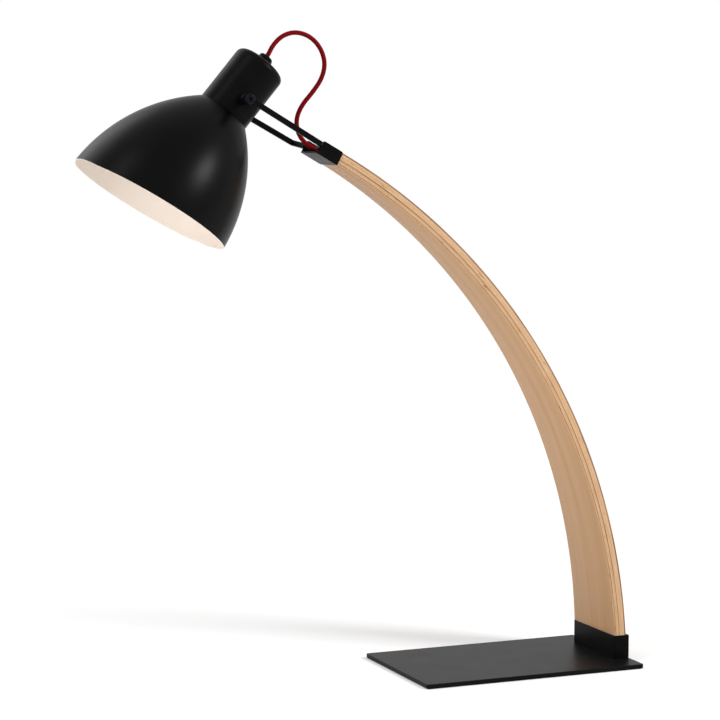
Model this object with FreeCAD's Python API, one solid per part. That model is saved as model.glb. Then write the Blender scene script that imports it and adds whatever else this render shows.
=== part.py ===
import FreeCAD, Part
import math
import os
from FreeCAD import Placement, Rotation, Vector

# Arched desk lamp: steel base, bent-plywood arm, fork, tilting head with a bell shade.
# Millimetres. Origin: centre of the pad's underside. +Z up, +X towards the arm's foot, head at -X.

# ---- fits ----
seat_clearance = 0.2         # between pieces that are pushed together
thread_clearance = 0.05      # between pieces that are screwed or pressed together
running_gap = 0.1            # between pieces that turn on each other
hole_margin = 1.0            # length by which a cutting tool runs past a face

# ---- base ----
plate_length = 265.0
plate_width = 171.0
plate_thickness = 4.5
plate_corner = 3.0
plate_edge_bevel = 0.5
pad_thickness = 1.0
pad_inset = 2.0

# ---- arm ----
arm_radius = 648.8           # concave face
arm_thickness = 14.0
arm_centre_z = -0.8          # height of the arch's centre
arm_bracket_angle = 60.3     # from the arch's centre to the bracket's back edge, degrees
arm_end_in_bracket = 13.0
arm_foot_half_width = 49.1
arm_width_slope = 20.56      # half width = foot - slope u - curve u^2
arm_width_curve = 12.07
arm_width_start = 2.32       # degrees where u = 0
arm_width_span = 67.92       # degrees from u = 0 to u = 1
arm_edge_steps = 12
arm_edge_margin = 2.0        # degrees by which the side cuts run past both ends
arm_edge_round = 0.8
channel_width = 6.5
channel_overlap = 0.1        # degrees by which the channel runs into its bend

# ---- shoe that holds the arm's foot ----
arm_ledge = 0.6              # arm's concave face behind the shoe's front, at the shoe's top
shoe_back_wall = 4.2
shoe_depth = arm_ledge + arm_thickness + seat_clearance + shoe_back_wall
shoe_height = 26.0
shoe_overhang = 0.9          # past the plate's end
shoe_floor = 3.0
shoe_front_wall = 1.5
shoe_side_wall = 1.8
shoe_edge_round = 1.2
shoe_top_bevel = 0.5
shoe_side_cover = 0.15       # shoe stands this far outside the arm on each side

# ---- screws ----
shoe_screw_radius = 2.5
shoe_screw_spacing = 56.0
arm_screw_radius = 1.8
arm_screw_length = 11.0
arm_screw_spacing = 60.0
arm_screw_height = 15.6      # above the plate
screw_head_ratio = 2.0       # head radius to shank radius
screw_socket_ratio = 0.8     # socket depth to shank radius

# ---- flex ----
flex_diameter = 5.0
flex_foot_bend = 7.0         # centre-line radius in the foot, where the flex ends just inside the grommet
flex_join_angle = 0.67       # degrees past the bracket's back edge where the inner flex starts
flex_gap = 0.1
flex_run_share = 0.45        # share of the shorter run that each bend may take
# centre line of the free loop (x, y, z), from inside the gland to inside the arm
flex_route = [
    (-288.2, 0.0, 669.0), (-280.9, 0.0, 677.7), (-276.6, 0.2, 688.8), (-265.8, 0.5, 699.4),
    (-250.4, 0.6, 703.6), (-234.0, 0.4, 699.0), (-221.8, 0.0, 686.6), (-216.9, -0.4, 670.4),
    (-220.7, -0.6, 654.2), (-231.1, -0.5, 639.6), (-242.6, -0.3, 626.6), (-248.8, -0.1, 612.7),
    (-248.2, 0.0, 598.8), (-241.3, 0.0, 587.1), (-228.8, 0.0, 579.6), (-215.0, 0.0, 572.8),
]

# ---- grommet in the shoe's back ----
grommet_bore_radius = 3.0
grommet_wall = 1.6
grommet_flange_radius = 6.5
grommet_flange = 1.5
grommet_bevel = 0.6
grommet_height = 9.0         # above the plate
grommet_neck_radius = grommet_bore_radius + grommet_wall

# ---- bracket on the arm's end ----
bracket_length = 26.0
bracket_height = 15.4
bracket_proud = 0.8          # by which the web stands past the arm's concave face
bracket_sheet = 1.5
bracket_web = 2.0
bracket_corner = 2.5
bracket_fold_round = 0.9
bracket_screw_radius = 1.75
bracket_screw_spacing = 20.0
bracket_screw_back = 8.0     # from the back edge, into the arm's end
bracket_screw_length = 9.0

# ---- fork ----
fork_reach = 128.1           # pivot ahead of the bracket's back edge
fork_height = 7.3            # bar's centre above the bracket's underside
bar_height = 6.0
bar_thickness = 3.0
bar_edge_bevel = 0.4
bar_tongue = 9.0             # welded length inside the bracket's cheek
bar_lead = 1.5               # straight length ahead of the bracket
bar_flare = 6.5              # length in which a bar opens out
bar_flare_half = 41.0        # half spacing after the flare
eye_half = 47.0              # half spacing of the eyes
eye_flat = 16.0              # straight length of bar before the pivot
eye_radius = 7.0
eye_clearance = 0.06         # running clearance round the pivot screw

# ---- pivot ----
pivot_screw_radius = 3.0
pivot_screw_end = 1.0        # past the nut
pivot_head_radius = 5.6
pivot_head_height = 3.2
pivot_head_round = 1.1
pivot_socket_flats = 4.0
pivot_socket_depth = 2.0
washer_thickness = 0.8
washer_radius = 6.6
spacer_radius = 6.0
spacer_saddle = 2.0          # depth of the saddle that fits round the cup
nut_flats = 10.0
nut_height = 4.0

# ---- cup and shade, in the head's own frame: origin at the pivot, +Z along its axis ----
head_tilt = 40.2             # axis from the vertical, degrees
neck_drop = 19.0             # neck below the pivot
cup_radius = 28.8
cup_length = 68.3
cup_wall = 1.2
cup_top_wall = 1.5
cup_edge_round = 7.0
shade_wall = 1.0
shade_neck_ledge = 0.8       # shade's neck outside the cup
shade_mouth_radius = 89.7    # where the bell's side runs straight down
shade_bell_radius = 185.9    # of the side's single curve
shade_rim_drop = 125.5       # rim plane below the neck, on the axis
shade_rim_lean = 8.2         # rim plane from square, degrees

# ---- bulb ----
bulb_radius = 30.0
bulb_length = 107.0
bulb_wall = 0.9
bulb_cap_radius = 13.2
bulb_neck_step = 0.8         # neck's radius inside the cap's
bulb_neck_radius = bulb_cap_radius - bulb_neck_step
bulb_neck_in_cap = 4.0
bulb_cap_length = 25.0
bulb_cap_wall = 0.4
bulb_cap_skirt = 5.0         # plain length below the thread
bulb_cap_shoulder = 1.2
thread_turns = 5
thread_depth = 0.9
insulator_height = 2.4
insulator_ledge = 3.7        # cap's top round the insulator
insulator_radius = bulb_cap_radius - insulator_ledge
insulator_bore = 4.5
insulator_top = 5.5
bulb_contact_height = 1.2
bulb_contact_radius = 5.0
bulb_contact_bevel = 1.0

# ---- lamp holder ----
shell_wall = 0.5
shell_clearance = 0.5        # round the bulb's cap
holder_room = 2.6            # between the shell and the body
holder_wall = 2.2
shell_radius = bulb_cap_radius + shell_clearance + shell_wall
holder_radius = shell_radius + holder_room + holder_wall
holder_cap_top = 36.0        # above the pivot
holder_cap_bottom = 11.0
holder_cap_collar = 4.0
holder_cap_shoulder = 4.0
holder_cap_bevel = 2.0
holder_collar_radius = 8.0
holder_flange_reach = 5.0
holder_flange = 2.2
holder_flange_bevel = 1.0
holder_mouth_drop = 10.0     # mouth below the shade's neck
holder_mouth_bevel = 0.8
ring_height = 8.0
ring_wall = 2.5
ring_flange = 2.0
ring_flange_reach = 3.0
ring_ribs = 12
rib_depth = 1.1
rib_width = 1.6
insert_height = 8.0
insert_bore = 1.6
insert_post_width = 2.4
insert_post_height = 5.0
insert_post_share = 0.7      # of the insert's radius
shell_mouth = 3.0            # above the holder's mouth
contact_radius = 4.0
contact_height = 1.5
contact_stem_radius = 1.5
contact_stem = 6.4

# ---- hollow nipple and gland ----
nipple_radius = 5.0
nipple_bore = 3.3
nipple_length = 24.3
nipple_rise = 4.0            # above the cup
nipple_nut_flats = 14.0
nipple_nut_height = 3.0
gland_radius = 7.7
gland_height = 8.9
gland_bevel = 1.2
gland_mouth_bevel = 1.0
gland_foot_radius = 9.0
gland_foot = 1.2
gland_screw_radius = 1.5
gland_screw_length = 5.6
gland_screw_drop = 3.2       # below the gland's top
gland_slot_width = 0.4
gland_slot_depth = 0.8

X = Vector(1, 0, 0)
Y = Vector(0, 1, 0)
Z = Vector(0, 0, 1)


# ---- helpers ----
def box(x0, x1, y0, y1, z0, z1):
    return Part.makeBox(x1 - x0, y1 - y0, z1 - z0, Vector(x0, y0, z0))


def rod(radius, start, direction, length):
    return Part.makeCylinder(radius, length, start, direction)


def hexagon(flats, start, direction, length):
    """A hexagonal bar with the given width across its flats."""
    corner = flats / math.sqrt(3)
    angles = [math.radians(60 * k) for k in range(7)]
    points = [Vector(corner * math.cos(a), corner * math.sin(a), 0) for a in angles]
    bar = Part.Face(Part.makePolygon(points)).extrude(Z * length)
    bar.Placement = Placement(start, Rotation(Z, direction))
    return bar


def turned(edges):
    """A solid of revolution about Z from edges in the XZ plane."""
    return Part.Face(Part.Wire(Part.sortEdges(edges)[0])).revolve(Vector(), Z, 360)


def turned_polygon(points):
    """A solid of revolution from (radius, height) corners."""
    places = [Vector(r, 0, h) for r, h in points + points[:1]]
    return turned([Part.makeLine(a, b) for a, b in zip(places, places[1:])])


def tube(outer, inner, bottom, top):
    return turned_polygon([(inner, bottom), (outer, bottom), (outer, top), (inner, top)])


def countersunk_screw(radius, place, direction, length):
    """Flat-headed screw with its head's face at place."""
    head = Part.makeCone(screw_head_ratio * radius, radius, radius, place, direction)
    shank = rod(radius, place, direction, length)
    socket = hexagon(radius, place, direction, radius * screw_socket_ratio)
    return head.fuse(shank).cut(socket).removeSplitter()


def countersink(radius, place, direction, depth):
    """Hole and conical seat for such a screw."""
    hole = rod(radius + seat_clearance, place, direction, depth)
    bore = radius + seat_clearance
    return hole.fuse(Part.makeCone(bore + (screw_head_ratio - 1) * radius, bore, radius, place, direction))


def both(spacing):
    return (-spacing / 2, spacing / 2)


def upright_edges(solid, height):
    return [e for e in solid.Edges if abs(e.Vertexes[0].Z - e.Vertexes[-1].Z) > height / 2]


def face_edges(solid, height):
    """Edges that lie in a level plane."""
    return [e for e in solid.Edges if all(abs(v.Z - height) < 1e-6 for v in e.Vertexes)]


def ring_edges(solid, axis, height):
    """Circular edges in the plane square to axis at a height."""
    return [e for e in solid.Edges if len(e.Vertexes) == 1 and abs(e.CenterOfMass.dot(axis) - height) < 1e-6]


def save(name, shape):
    shape.exportStep("parts/" + name + ".step")
    print(name, len(shape.Solids), "solid(s),", round(shape.Volume / 1000, 2), "cm3")


# ---- places worked out from the sizes ----
plate_top = pad_thickness + plate_thickness
shoe_back_x = plate_length / 2 + shoe_overhang
shoe_front_x = shoe_back_x - shoe_depth
shoe_top = plate_top + shoe_height
pocket_floor = plate_top + shoe_floor
top_angle = math.degrees(math.asin((shoe_top - arm_centre_z) / arm_radius))
arm_centre_x = shoe_front_x + arm_ledge - arm_radius * math.cos(math.radians(top_angle))
arm_centre = Vector(arm_centre_x, 0, arm_centre_z)
arm_outer_radius = arm_radius + arm_thickness
arm_mid_radius = arm_radius + arm_thickness / 2
arm_end_angle = arm_bracket_angle + math.degrees(arm_end_in_bracket / arm_mid_radius)


def arch_point(radius, angle, y=0.0):
    a = math.radians(angle)
    return arm_centre + Vector(radius * math.cos(a), y, radius * math.sin(a))


def arch_back_x(height):
    """X of the arm's convex face at a height near the foot."""
    return arm_centre_x + math.sqrt(arm_outer_radius ** 2 - (height - arm_centre_z) ** 2)


def half_width(angle):
    u = (angle - arm_width_start) / arm_width_span
    return arm_foot_half_width - arm_width_slope * u - arm_width_curve * u * u


shoe_half = half_width(top_angle) + shoe_side_cover
pocket_half = shoe_half - shoe_side_wall
pocket_front = shoe_front_x + shoe_front_wall
pocket_back = arch_back_x(pocket_floor) + seat_clearance
shoe_screw_x = (pocket_front + pocket_back - seat_clearance) / 2
arm_screw_z = plate_top + arm_screw_height
arm_screw_x = shoe_back_x - arm_screw_radius
flex_outlet_z = plate_top + grommet_height
foot_bend_rise = flex_outlet_z + flex_foot_bend - arm_centre_z
channel_foot_angle = math.degrees(math.asin(foot_bend_rise / arm_mid_radius))
# bracket frame: origin at the back edge of the web's underside, +X back along the arm, +Z out of the arch
bracket_origin = arch_point(arm_radius - bracket_proud, arm_bracket_angle)
bracket_frame = Placement(bracket_origin, Rotation(Y, 90 - arm_bracket_angle))
bracket_up = bracket_frame.Rotation.multVec(Z)
bracket_half = half_width(arm_bracket_angle) + bracket_sheet
pivot = bracket_frame.multVec(Vector(-fork_reach, 0, fork_height))
head_frame = Placement(pivot, Rotation(Y, head_tilt))
# heights and half spacings in the head's frame
eye_inner = eye_half - bar_thickness / 2
eye_outer = eye_half + bar_thickness / 2
washer_inner = eye_inner - running_gap - washer_thickness
nut_seat = math.sqrt((cup_radius - cup_wall) ** 2 - (nut_flats / math.sqrt(3)) ** 2)
neck = -neck_drop
cup_top = neck + cup_length
cup_ceiling = cup_top - cup_top_wall
holder_mouth = neck - holder_mouth_drop
insert_bottom = holder_cap_bottom - insert_height
contact_bottom = insert_bottom - contact_height
bulb_top = contact_bottom - seat_clearance
bulb_cap_top = bulb_top - bulb_contact_height - insulator_height
bulb_cap_bottom = bulb_cap_top - bulb_cap_length
nipple_top = cup_top + nipple_rise


# ---- base ----
def base_pad():
    length = plate_length / 2 - pad_inset
    width = plate_width / 2 - pad_inset
    return box(-length, length, -width, width, 0, pad_thickness)


def base_plate():
    length = plate_length / 2
    width = plate_width / 2
    plate = box(-length, length, -width, width, pad_thickness, plate_top)
    plate = plate.makeFillet(plate_corner, upright_edges(plate, plate_thickness))
    plate = plate.makeChamfer(plate_edge_bevel, face_edges(plate, plate_top))
    for y in both(shoe_screw_spacing):
        place = Vector(shoe_screw_x, y, pad_thickness)
        plate = plate.cut(countersink(shoe_screw_radius, place, Z, plate_thickness))
    return plate


def arm_shoe():
    body = box(shoe_front_x, shoe_back_x, -shoe_half, shoe_half, plate_top, shoe_top)
    body = body.makeFillet(shoe_edge_round, upright_edges(body, shoe_height))
    body = body.makeChamfer(shoe_top_bevel, face_edges(body, shoe_top))
    body = body.cut(box(pocket_front, pocket_back, -pocket_half, pocket_half, pocket_floor, shoe_top))
    for y in both(shoe_screw_spacing):
        place = Vector(shoe_screw_x, y, plate_top)
        body = body.cut(rod(shoe_screw_radius + thread_clearance, place, Z, shoe_floor))
    head_seat = screw_head_ratio * arm_screw_radius + seat_clearance
    for y in both(arm_screw_spacing):
        start = Vector(pocket_back - hole_margin, y, arm_screw_z)
        body = body.cut(rod(arm_screw_radius + seat_clearance, start, X, shoe_depth))
        body = body.cut(rod(head_seat, Vector(arm_screw_x, y, arm_screw_z), X, arm_screw_radius))
    outlet = Vector(pocket_back - hole_margin, 0, flex_outlet_z)
    return body.cut(rod(grommet_neck_radius, outlet, X, shoe_depth))


def shoe_screws():
    length = plate_thickness + shoe_floor
    places = [Vector(shoe_screw_x, y, pad_thickness) for y in both(shoe_screw_spacing)]
    return Part.makeCompound([countersunk_screw(shoe_screw_radius, place, Z, length) for place in places])


def arm_screws():
    """Pan-headed wood screws through the shoe's back into the arm."""
    screws = []
    head_height = arm_screw_radius * screw_socket_ratio
    for y in both(arm_screw_spacing):
        seat = Vector(arm_screw_x, y, arm_screw_z)
        head = rod(screw_head_ratio * arm_screw_radius, seat, X, head_height)
        shank = rod(arm_screw_radius, seat, -X, arm_screw_length)
        tip = seat - X * arm_screw_length
        point = Part.makeCone(arm_screw_radius, arm_screw_radius / 3, arm_screw_radius, tip, -X)
        socket = hexagon(arm_screw_radius * 1.5, seat + X * head_height, -X, head_height * 0.75)
        screws.append(head.fuse([shank, point]).cut(socket).removeSplitter())
    return Part.makeCompound(screws)


def lead_grommet():
    length = shoe_back_x - pocket_back
    neck_radius = grommet_neck_radius - thread_clearance
    bevel_radius = grommet_flange_radius - grommet_bevel
    bush = turned_polygon([
        (grommet_bore_radius, -length), (neck_radius, -length), (neck_radius, 0), (grommet_flange_radius, 0),
        (grommet_flange_radius, grommet_flange - grommet_bevel), (bevel_radius, grommet_flange),
        (grommet_bore_radius, grommet_flange)])
    bush.Placement = Placement(Vector(shoe_back_x, 0, flex_outlet_z), Rotation(Z, X))
    return bush


# ---- arm ----
def arch_band(inner, outer, first, last, half):
    """Part of a ring about the arch's centre, extruded across Y."""
    corners = [arch_point(inner, first, -half), arch_point(outer, first, -half),
               arch_point(outer, last, -half), arch_point(inner, last, -half)]
    middle = (first + last) / 2
    edges = [Part.makeLine(corners[0], corners[1]),
             Part.Arc(corners[1], arch_point(outer, middle, -half), corners[2]).toShape(),
             Part.makeLine(corners[2], corners[3]),
             Part.Arc(corners[3], arch_point(inner, middle, -half), corners[0]).toShape()]
    return Part.Face(Part.Wire(edges)).extrude(Y * 2 * half)


def side_edge(radius, side):
    """Spline along one side of the arm at a radius, running past both ends."""
    step = (arm_end_angle + 2 * arm_edge_margin) / arm_edge_steps
    angles = [k * step - arm_edge_margin for k in range(arm_edge_steps + 1)]
    curve = Part.BSplineCurve()
    curve.interpolate([arch_point(radius, angle, side * half_width(angle)) for angle in angles])
    return curve.toShape()


def arm():
    foot_angle = math.degrees(math.asin((pocket_floor - arm_centre_z) / arm_radius))
    reach = arm_foot_half_width + arm_thickness
    blank = arch_band(arm_radius, arm_outer_radius, foot_angle - 1, arm_end_angle, reach)
    for side in (-1, 1):
        cheek = Part.makeRuledSurface(side_edge(arm_radius - arm_thickness, side),
                                      side_edge(arm_outer_radius + arm_thickness, side))
        blank = blank.cut(cheek.extrude(Y * side * reach))
    blank = blank.makeFillet(arm_edge_round, [e for e in blank.Edges if e.Length > arm_radius / 2])
    # foot: cut level at the pocket's floor and stepped in to a tenon below the shoe's top
    below = box(shoe_front_x - reach, shoe_back_x + reach, -reach, reach, -reach, pocket_floor)
    collar = box(shoe_front_x - reach, shoe_back_x + reach, -reach, reach, -reach, shoe_top)
    tenon_half = pocket_half - seat_clearance
    tenon_front = pocket_front + seat_clearance
    tenon = box(tenon_front, arch_back_x(shoe_top), -tenon_half, tenon_half, -reach, shoe_top)
    blank = blank.cut(below).cut(collar.cut(tenon))
    # rebate that lets the bracket's web lie flush with the concave face
    rebate = box(-bracket_length, 0, -reach, reach, -reach, bracket_web)
    rebate.Placement = bracket_frame
    blank = blank.cut(rebate)
    # flex channel between the plies and its bend in the foot
    half = channel_width / 2
    channel = arch_band(arm_mid_radius - half, arm_mid_radius + half, channel_foot_angle - channel_overlap,
                        arm_end_angle + 1, half)
    middle = arch_point(arm_mid_radius, channel_foot_angle)
    bend = box(middle.x - half, shoe_back_x, -half, half, flex_outlet_z - half, middle.z)
    blank = blank.cut(channel).cut(bend)
    # screw holes
    for y in both(arm_screw_spacing):
        tip = Vector(arm_screw_x - arm_screw_length - arm_screw_radius - seat_clearance, y, arm_screw_z)
        blank = blank.cut(rod(arm_screw_radius + thread_clearance, tip, X, 2 * shoe_depth))
    for place in bracket_screw_places():
        depth = bracket_screw_length + seat_clearance
        blank = blank.cut(rod(bracket_screw_radius + thread_clearance, place, bracket_up, depth))
    return blank


# ---- bracket and fork, drawn in the bracket frame ----
def bracket_screw_places():
    return [bracket_frame.multVec(Vector(-bracket_screw_back, y, 0)) for y in both(bracket_screw_spacing)]


def fork_bracket():
    body = box(-bracket_length, 0, -bracket_half, bracket_half, 0, bracket_height)
    corners = [e for e in body.Edges if abs(e.CenterOfMass.z - bracket_height) < 1e-6
               and abs(e.Vertexes[0].Y - e.Vertexes[1].Y) > bracket_half]
    body = body.makeFillet(bracket_corner, corners)
    inner_half = bracket_half - bracket_sheet
    body = body.cut(box(-bracket_length, 0, -inner_half, inner_half, bracket_web, bracket_height))
    folds = [e for e in body.Edges if abs(e.CenterOfMass.z) < 1e-6
             and abs(e.Vertexes[0].X - e.Vertexes[1].X) > bracket_length / 2]
    body = body.makeFillet(bracket_fold_round, folds)
    for y in both(bracket_screw_spacing):
        body = body.cut(countersink(bracket_screw_radius, Vector(-bracket_screw_back, y, 0), Z, bracket_web))
    body.Placement = bracket_frame
    return body


def bracket_screws():
    return Part.makeCompound([countersunk_screw(bracket_screw_radius, place, bracket_up, bracket_screw_length)
                              for place in bracket_screw_places()])


def offset_outline(path, distance):
    """Points beside an (x, y) path, mitred at its bends."""
    normals = []
    for (x0, y0), (x1, y1) in zip(path, path[1:]):
        length = math.hypot(x1 - x0, y1 - y0)
        normals.append((-(y1 - y0) / length, (x1 - x0) / length))
    beside = []
    for k, (x, y) in enumerate(path):
        before = normals[max(k - 1, 0)]
        after = normals[min(k, len(normals) - 1)]
        scale = distance / (1 + before[0] * after[0] + before[1] * after[1])
        beside.append((x + (before[0] + after[0]) * scale, y + (before[1] + after[1]) * scale))
    return beside


def fork_arm(side):
    """Flat bar, flared out past the bracket, with an eye round the pivot."""
    cheek = bracket_half - bracket_sheet - bar_thickness / 2
    flare_start = -bracket_length - bar_lead
    path = [(bar_tongue - bracket_length, cheek), (flare_start, cheek),
            (flare_start - bar_flare, bar_flare_half),
            (eye_flat - fork_reach, eye_half), (-fork_reach, eye_half)]
    outline = offset_outline(path, bar_thickness / 2) + offset_outline(path, -bar_thickness / 2)[::-1]
    bottom = fork_height - bar_height / 2
    corners = [Vector(x, side * y, bottom) for x, y in outline]
    bar = Part.Face(Part.makePolygon(corners + corners[:1])).extrude(Z * bar_height)
    edges = face_edges(bar, bottom) + face_edges(bar, bottom + bar_height)
    bar = bar.makeChamfer(bar_edge_bevel, [e for e in edges if e.Length > 2 * bar_thickness])
    inner_face = Vector(-fork_reach, side * eye_inner, fork_height)
    eye = rod(eye_radius, inner_face, Y * side, bar_thickness)
    hole = rod(pivot_screw_radius + eye_clearance, inner_face - Y * side * hole_margin, Y * side,
               bar_thickness + 2 * hole_margin)
    fork = bar.fuse(eye).cut(hole).removeSplitter()
    fork.Placement = bracket_frame
    return fork


# ---- pivot pieces, in the head frame ----
def both_sides(piece):
    """A piece drawn on +Y and its half turn about Z on -Y, in the head frame."""
    other = piece.copy()
    other.rotate(Vector(), Z, 180)
    return Part.makeCompound([piece, other])


def pivot_screws():
    under_head = eye_outer + running_gap
    top = under_head + pivot_head_height
    inner_end = nut_seat - nut_height - pivot_screw_end
    shank = rod(pivot_screw_radius, Y * inner_end, Y, under_head - inner_end)
    head = rod(pivot_head_radius, Y * under_head, Y, pivot_head_height)
    head = head.makeFillet(pivot_head_round, ring_edges(head, Y, top))
    socket = hexagon(pivot_socket_flats, Y * top, -Y, pivot_socket_depth)
    return both_sides(shank.fuse(head).cut(socket).removeSplitter())


def pivot_ring(blank, start, length):
    return blank.cut(rod(pivot_screw_radius + thread_clearance, Y * start, Y, length))


def pivot_spacers():
    start = cup_radius - spacer_saddle
    length = washer_inner - start
    blank = pivot_ring(rod(spacer_radius, Y * start, Y, length), start, length)
    saddle = rod(cup_radius + thread_clearance, -Z * spacer_radius * 2, Z, spacer_radius * 4)
    return both_sides(blank.cut(saddle))


def pivot_washers():
    blank = rod(washer_radius, Y * washer_inner, Y, washer_thickness)
    return both_sides(pivot_ring(blank, washer_inner, washer_thickness))


def pivot_nuts():
    start = nut_seat - nut_height
    return both_sides(pivot_ring(hexagon(nut_flats, Y * start, Y, nut_height), start, nut_height))


# ---- cup and shade, in the head frame ----
def socket_cup():
    outer = rod(cup_radius, Z * neck, Z, cup_length)
    outer = outer.makeFillet(cup_edge_round, ring_edges(outer, Z, cup_top))
    inner = rod(cup_radius - cup_wall, Z * neck, Z, cup_length - cup_top_wall)
    inner = inner.makeFillet(cup_edge_round - cup_wall, ring_edges(inner, Z, cup_ceiling))
    body = outer.cut(inner)
    body = body.cut(rod(nipple_radius + thread_clearance, Z * (cup_ceiling - hole_margin), Z, cup_length))
    return body.cut(rod(pivot_screw_radius + thread_clearance, -Y * 2 * cup_radius, Y, 4 * cup_radius))


def bell_arc(wall, first_height):
    """The bell's side, drawn in by a wall's thickness, from a height down to where it runs straight down."""
    centre = Vector(shade_mouth_radius - shade_bell_radius, 0, bell_centre_height())
    radius = shade_bell_radius - wall
    start = math.asin((first_height - centre.z) / radius)
    points = [centre + Vector(radius * math.cos(a), 0, radius * math.sin(a)) for a in (start, start / 2, 0)]
    return Part.Arc(*points)


def bell_centre_height():
    across = cup_radius + shade_neck_ledge + shade_bell_radius - shade_mouth_radius
    return neck - math.sqrt(shade_bell_radius ** 2 - across ** 2)


def shade():
    """Spun bell with a flat top, cut off by a leaning rim plane."""
    hole = holder_radius + seat_clearance
    outer = bell_arc(0, neck)
    inner = bell_arc(shade_wall, neck - shade_wall)
    corners = [outer.EndPoint, inner.EndPoint]
    top = [outer.StartPoint, Vector(hole, 0, neck), Vector(hole, 0, neck - shade_wall), inner.StartPoint]
    edges = [outer.toShape(), inner.toShape(), Part.makeLine(*corners)]
    edges += [Part.makeLine(a, b) for a, b in zip(top, top[1:])]
    reach = 2 * shade_mouth_radius
    waste = Part.makeBox(2 * reach, 2 * reach, reach, Vector(-reach, -reach, -reach))
    waste.Placement = Placement(Z * (neck - shade_rim_drop), Rotation(Y, -shade_rim_lean))
    return turned(edges).cut(waste)


# ---- lamp holder, in the head frame ----
def holder_cap():
    inner = holder_radius - holder_wall
    shoulder = holder_cap_top - holder_collar_radius
    collar_foot = holder_cap_top - holder_cap_collar
    bore = nipple_radius + thread_clearance
    outside = [(holder_radius, holder_cap_bottom), (holder_radius, shoulder - holder_cap_shoulder),
               (holder_radius - holder_cap_bevel, shoulder),
               (holder_collar_radius + holder_cap_bevel, collar_foot - 1),
               (holder_collar_radius, collar_foot), (holder_collar_radius, holder_cap_top)]
    inside = [(bore, holder_cap_top), (bore, collar_foot - holder_wall - 1),
              (holder_collar_radius, shoulder - holder_wall / 2),
              (inner - holder_cap_bevel, shoulder - holder_wall - 1),
              (inner, shoulder - holder_cap_shoulder - 1), (inner, holder_cap_bottom)]
    return turned_polygon(outside + inside)


def holder_body():
    inner = holder_radius - holder_wall
    flange_radius = holder_radius + holder_flange_reach
    seat = neck + thread_clearance
    top = holder_cap_bottom - thread_clearance
    return turned_polygon([
        (inner, holder_mouth), (holder_radius - holder_mouth_bevel, holder_mouth),
        (holder_radius, holder_mouth + holder_mouth_bevel), (holder_radius, seat), (flange_radius, seat),
        (flange_radius, seat + holder_flange), (holder_radius, seat + holder_flange + holder_flange_bevel),
        (holder_radius, top), (inner, top)])


def holder_insert():
    inner = holder_radius - holder_wall - thread_clearance
    disc = tube(inner, insert_bore, insert_bottom, holder_cap_bottom)
    reach = inner * insert_post_share
    post = box(-insert_post_width / 2, insert_post_width / 2, -reach, reach,
               holder_cap_bottom, holder_cap_bottom + insert_post_height)
    return disc.fuse(post.cut(rod(insert_bore, Z * insert_bottom, Z, insert_height * 2)))


def holder_shell():
    return tube(shell_radius, shell_radius - shell_wall, holder_mouth + shell_mouth, insert_bottom)


def holder_contact():
    button = rod(contact_radius, Z * contact_bottom, Z, contact_height)
    return button.fuse(rod(contact_stem_radius, Z * insert_bottom, Z, contact_stem))


def shade_ring():
    """Ribbed ring that clamps the shade to the holder's flange."""
    top = neck - shade_wall - thread_clearance
    bore = holder_radius + thread_clearance
    outside = holder_radius + ring_wall
    ring = turned_polygon([
        (bore, top - ring_height), (outside, top - ring_height), (outside, top - ring_flange),
        (outside + ring_flange_reach, top - ring_flange), (outside + ring_flange_reach, top), (bore, top)])
    ribs = []
    for k in range(ring_ribs):
        rib = box(outside - ring_wall / 2, outside + rib_depth, -rib_width / 2, rib_width / 2,
                  top - ring_height, top - ring_flange)
        rib.rotate(Vector(), Z, 360 * k / ring_ribs)
        ribs.append(rib)
    return ring.fuse(ribs)


def holder_nipple():
    return tube(nipple_radius, nipple_bore, nipple_top - nipple_length, nipple_top)


def nipple_nut():
    base = cup_ceiling - nipple_nut_height
    blank = hexagon(nipple_nut_flats, Z * base, Z, nipple_nut_height)
    return blank.cut(rod(nipple_radius + thread_clearance, Z * base, Z, nipple_nut_height))


# ---- gland ----
def gland_screw_place():
    return Vector(flex_diameter / 2 + 2 * flex_gap, 0, cup_top + gland_height - gland_screw_drop)


def cord_gland():
    bore = flex_diameter / 2 + flex_gap
    roomy = nipple_radius + thread_clearance
    step = nipple_top + thread_clearance
    top = cup_top + gland_height
    foot_top = cup_top + gland_foot
    body = turned_polygon([
        (roomy, cup_top), (gland_foot_radius, cup_top), (gland_foot_radius, foot_top),
        (gland_radius, foot_top), (gland_radius, top - gland_bevel), (gland_radius - gland_bevel, top),
        (bore + gland_mouth_bevel, top), (bore, top - gland_mouth_bevel), (bore, step), (roomy, step)])
    return body.cut(rod(gland_screw_radius + thread_clearance, gland_screw_place(), X, gland_radius))


def gland_screw():
    place = gland_screw_place()
    end = place.x + gland_screw_length
    slot = box(end - gland_slot_depth, end, -gland_slot_width / 2, gland_slot_width / 2,
               place.z - gland_screw_radius, place.z + gland_screw_radius)
    return rod(gland_screw_radius, place, X, gland_screw_length).cut(slot)


# ---- flex ----
def tube_along(edges, direction):
    path = Part.Wire(edges)
    section = Part.Wire(Part.makeCircle(flex_diameter / 2, path.OrderedVertexes[0].Point, direction))
    solid = Part.Wire(path).makePipeShell([section], True, False)
    expected = math.pi * flex_diameter ** 2 / 4 * path.Length
    share = round(solid.Volume / expected, 4)
    print("flex length", round(path.Length, 1), "volume / (section x length)", share)
    return solid


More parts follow.
